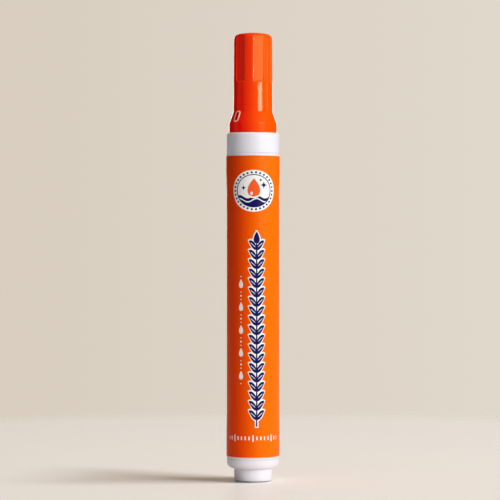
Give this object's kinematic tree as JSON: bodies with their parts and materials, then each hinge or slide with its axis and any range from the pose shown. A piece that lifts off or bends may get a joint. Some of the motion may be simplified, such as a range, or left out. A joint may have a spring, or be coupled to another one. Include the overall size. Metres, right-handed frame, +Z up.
{
  "type": "stain remover pen",
  "caption": "Press-tip liquid pen standing on its foot, with a fluted push-on cap, white collar, sleeved barrel and plugged foot, and a sprung nib valve inside.",
  "frame": {"origin": "centre of the foot's underside, on the pen's axis", "axes": "+Z up the pen from the foot to the cap, the front of the label on -Y, +X to the right of the front view"},
  "size_m": [0.0162, 0.0162, 0.1342],
  "materials": {
    "cap_plastic": "glossy moulded orange-red polypropylene",
    "label_film": "satin printed film, orange with a round emblem, a long dark blue ribbon and small white marks",
    "white_plastic": "smooth moulded white polypropylene",
    "natural_plastic": "natural milky moulded plastic",
    "seal_rubber": "soft matte seal rubber",
    "spring_steel": "drawn stainless wire",
    "felt": "dense white bonded fibre",
    "fluid": "clear thin liquid"
  },
  "bodies": {
    "pen": {"barrel": "white_plastic", "label_sleeve": "label_film", "end_plug": "white_plastic", "plug_ring": "seal_rubber", "front_section": "white_plastic", "section_ring": "seal_rubber", "valve_case": "natural_plastic", "valve_seat": "seal_rubber", "spring_retainer": "natural_plastic", "valve_spring": "spring_steel", "cleaning_fluid": "fluid"},
    "cap": {"cap_shell": "cap_plastic", "cap_seal_cup": "natural_plastic"},
    "nib_valve": {"nib": "felt", "valve_plunger": "natural_plastic"}
  },
  "joints": [
    {"name": "cap_pull", "type": "slide", "parent": "pen", "child": "cap", "axis": [0, 0, 1], "range_m": [0, 0.03]},
    {"name": "nib_press", "type": "slide", "parent": "pen", "child": "nib_valve", "axis": [0, 0, -1], "range_m": [0, 0.0018], "stiffness_N_per_m": 680, "springref_m": -0.0035, "deforming": ["valve_spring"]}
  ]
}
